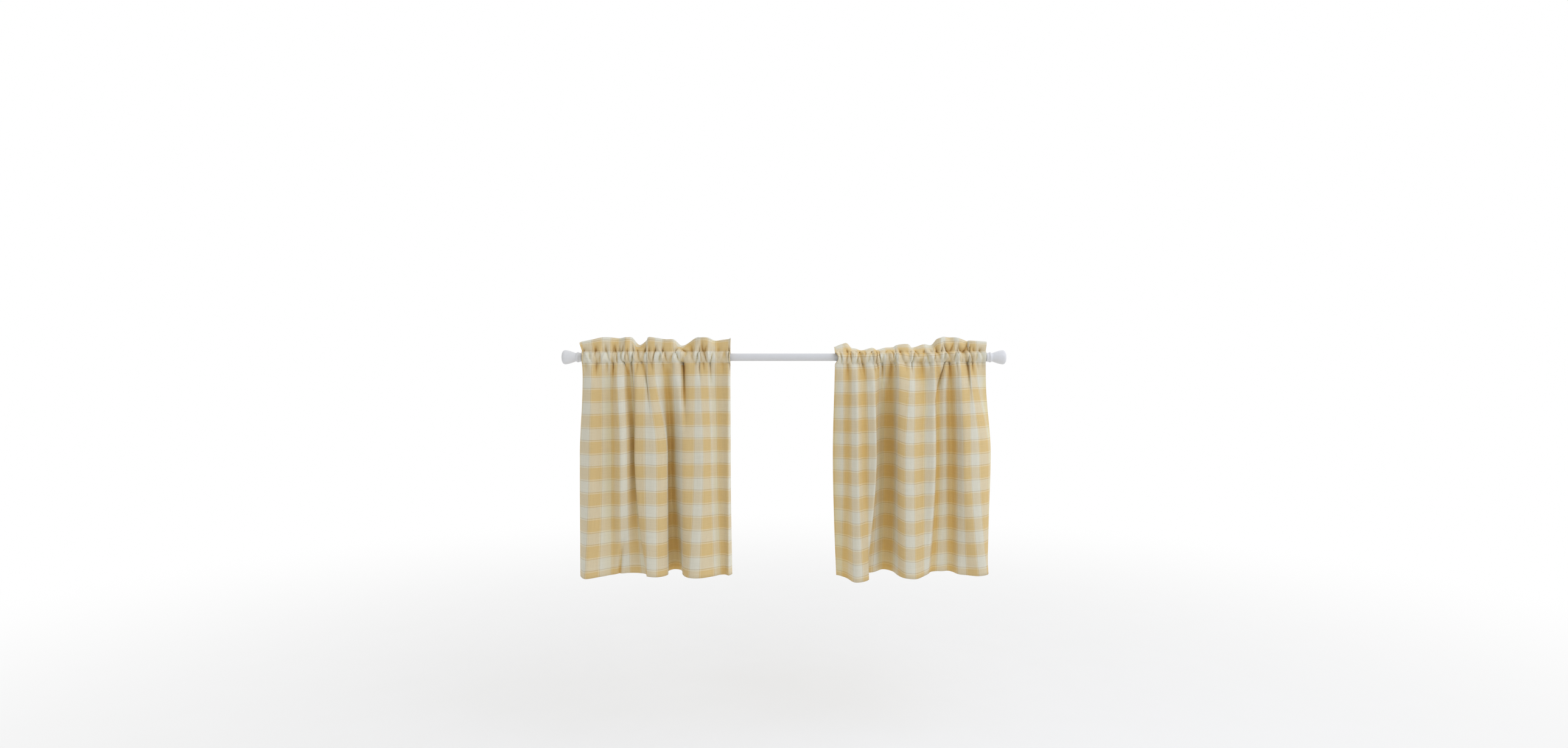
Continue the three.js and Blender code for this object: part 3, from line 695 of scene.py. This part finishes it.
whitePaint = paintGroup()
rodWhite = whiteMaterial("satin white rod", whitePaint, rod)
finialWhite = whiteMaterial("satin white finial", whitePaint, finial)
end, soft, radius = rod["halfLength"], rod["chamfer"], rod["radius"]
rodOutline = [(-end, 0), (-end, radius - soft), (-end + soft, radius), (-end / 3, radius), (end / 3, radius),
              (end - soft, radius), (end, radius - soft), (end, 0)]
rodPiece = spinPiece("rod_bar", rodOutline, rod["sides"], rodWhite)
for edge in rodPiece.data.edges:   # crisp rims round both ends
    first, last = (abs(rodPiece.data.vertices[spot].co.x) for spot in edge.vertices)
    edge.use_edge_sharp = min(first, last) > (end - rod["rims"]) * mm and abs(first - last) < sliver
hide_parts("rod")
for side, name in ((-1, "left"), (1, "right")):
    outline = [(side * (finial["tip"] - fromTip), radius) for fromTip, radius in finial["outline"]]
    piece = spinPiece("finial_end_" + name, outline, finial["sides"], finialWhite)
    fine = piece.modifiers.new("rounding", "SUBSURF")
    fine.levels = fine.render_levels = finial["smoothing"]
    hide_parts("finial_" + name)
print("rod and finials spun")

clothGroups = stripeGroup(), weaveGroup(), stitchGroup()
# front and back differ only in which side's hollows get the painted shade
clothSides = [clothMaterial("woven check cotton, front", 1.0, clothGroups),
              clothMaterial("woven check cotton, back", -1.0, clothGroups)]
for panel in (leftPanel, rightPanel):
    sewPanel(panel, clothSides)

# studio: pale floor that fades out, soft light all round and a soft box above the right panel
studio = {
    "floorHeight": -1.02, "floorSize": 16.0, "fade": (0.4, 4.0),
    "floorColour": (0.86, 0.86, 0.855, 1), "floorClouds": (0.88, 0.88, 0.88, 1), "cloudScale": 6.0,
    "around": (0.66, 1.0), "aroundFrom": (-1.0, 0.2),   # light from the front to the back
    "sides": (0.75, 1.25), "backdrop": (1, 1, 1, 1),
    "lights": [   # name, place, aim, size, watts, colour
        ("soft box", (1.0, -1.0, 1.0), (0.35, 0, -0.1), 1.2, 6.5, (0.92, 1.0, 1.2))],
}
lens = {"place": (0, -2.1, -0.0424), "focal": 19.06, "sensor": 36.0}


def buildStudio():
    bm = bmesh.new()
    bmesh.ops.create_grid(bm, x_segments=8, y_segments=8, size=studio["floorSize"] / 2)
    bmesh.ops.translate(bm, verts=bm.verts, vec=(0, 0, studio["floorHeight"]))
    mesh = bpy.data.meshes.new("pale floor")
    bm.to_mesh(mesh)
    bm.free()
    floor = bpy.data.objects.new("pale_floor", mesh)
    scene.collection.objects.link(floor)
    material, tree, shader = newMaterial("pale floor", Roughness=0.9)
    place = addNode(tree, "ShaderNodeTexCoord").outputs["Object"]
    away = addNode(tree, "ShaderNodeVectorMath", operation="LENGTH")
    plug(tree, place, away.inputs[0])
    clouds = cloudy(tree, place, studio["cloudScale"])
    plug(tree, blend(tree, clouds, studio["floorColour"], studio["floorClouds"]), shader.inputs["Base Color"])
    glow = addNode(tree, "ShaderNodeEmission")
    glow.inputs["Color"].default_value = studio["backdrop"]
    mixed = addNode(tree, "ShaderNodeMixShader")
    seen = addNode(tree, "ShaderNodeLightPath").outputs["Is Camera Ray"]
    fade = ramp(tree, away.outputs["Value"], *studio["fade"])
    plug(tree, sums(tree, "MULTIPLY", fade, seen), mixed.inputs[0])
    plug(tree, shader.outputs["BSDF"], mixed.inputs[1])
    plug(tree, glow.outputs["Emission"], mixed.inputs[2])
    plug(tree, mixed.outputs["Shader"], tree.nodes["Material Output"].inputs["Surface"])
    mesh.materials.append(material)
    world = bpy.data.worlds.new("studio")
    world.use_nodes = True
    sky = world.node_tree
    seen = addNode(sky, "ShaderNodeLightPath").outputs["Is Camera Ray"]
    plug(sky, studio["backdrop"], sky.nodes["Background"].inputs["Color"])
    toSide = addNode(sky, "ShaderNodeSeparateXYZ")
    plug(sky, addNode(sky, "ShaderNodeTexCoord").outputs["Generated"], toSide.inputs["Vector"])
    glow = ramp(sky, toSide.outputs["Y"], *studio["aroundFrom"], *studio["around"])
    glow = sums(sky, "MULTIPLY", glow, ramp(sky, toSide.outputs["X"], -1.0, 1.0, *studio["sides"]))
    plug(sky, ramp(sky, seen, 0.0, 1.0, glow, 1.0), sky.nodes["Background"].inputs["Strength"])
    scene.world = world
    for name, place, aim, size, watts, colour in studio["lights"]:
        data = bpy.data.lights.new(name, "AREA")
        data.size, data.energy, data.color = size, watts, colour
        light = bpy.data.objects.new(name, data)
        light.visible_camera = False
        light.location = place
        light.rotation_euler = (Vector(aim) - Vector(place)).to_track_quat("-Z", "Y").to_euler()
        scene.collection.objects.link(light)


def placeCamera():
    data = bpy.data.cameras.new("camera")
    data.sensor_width, data.lens = lens["sensor"], lens["focal"]
    camera = bpy.data.objects.new("camera", data)
    camera.location = lens["place"]
    camera.rotation_euler = (math.pi / 2, 0, 0)
    scene.collection.objects.link(camera)
    scene.camera = camera


buildStudio()
placeCamera()
scene.view_settings.view_transform = "Standard"
print("studio lit")
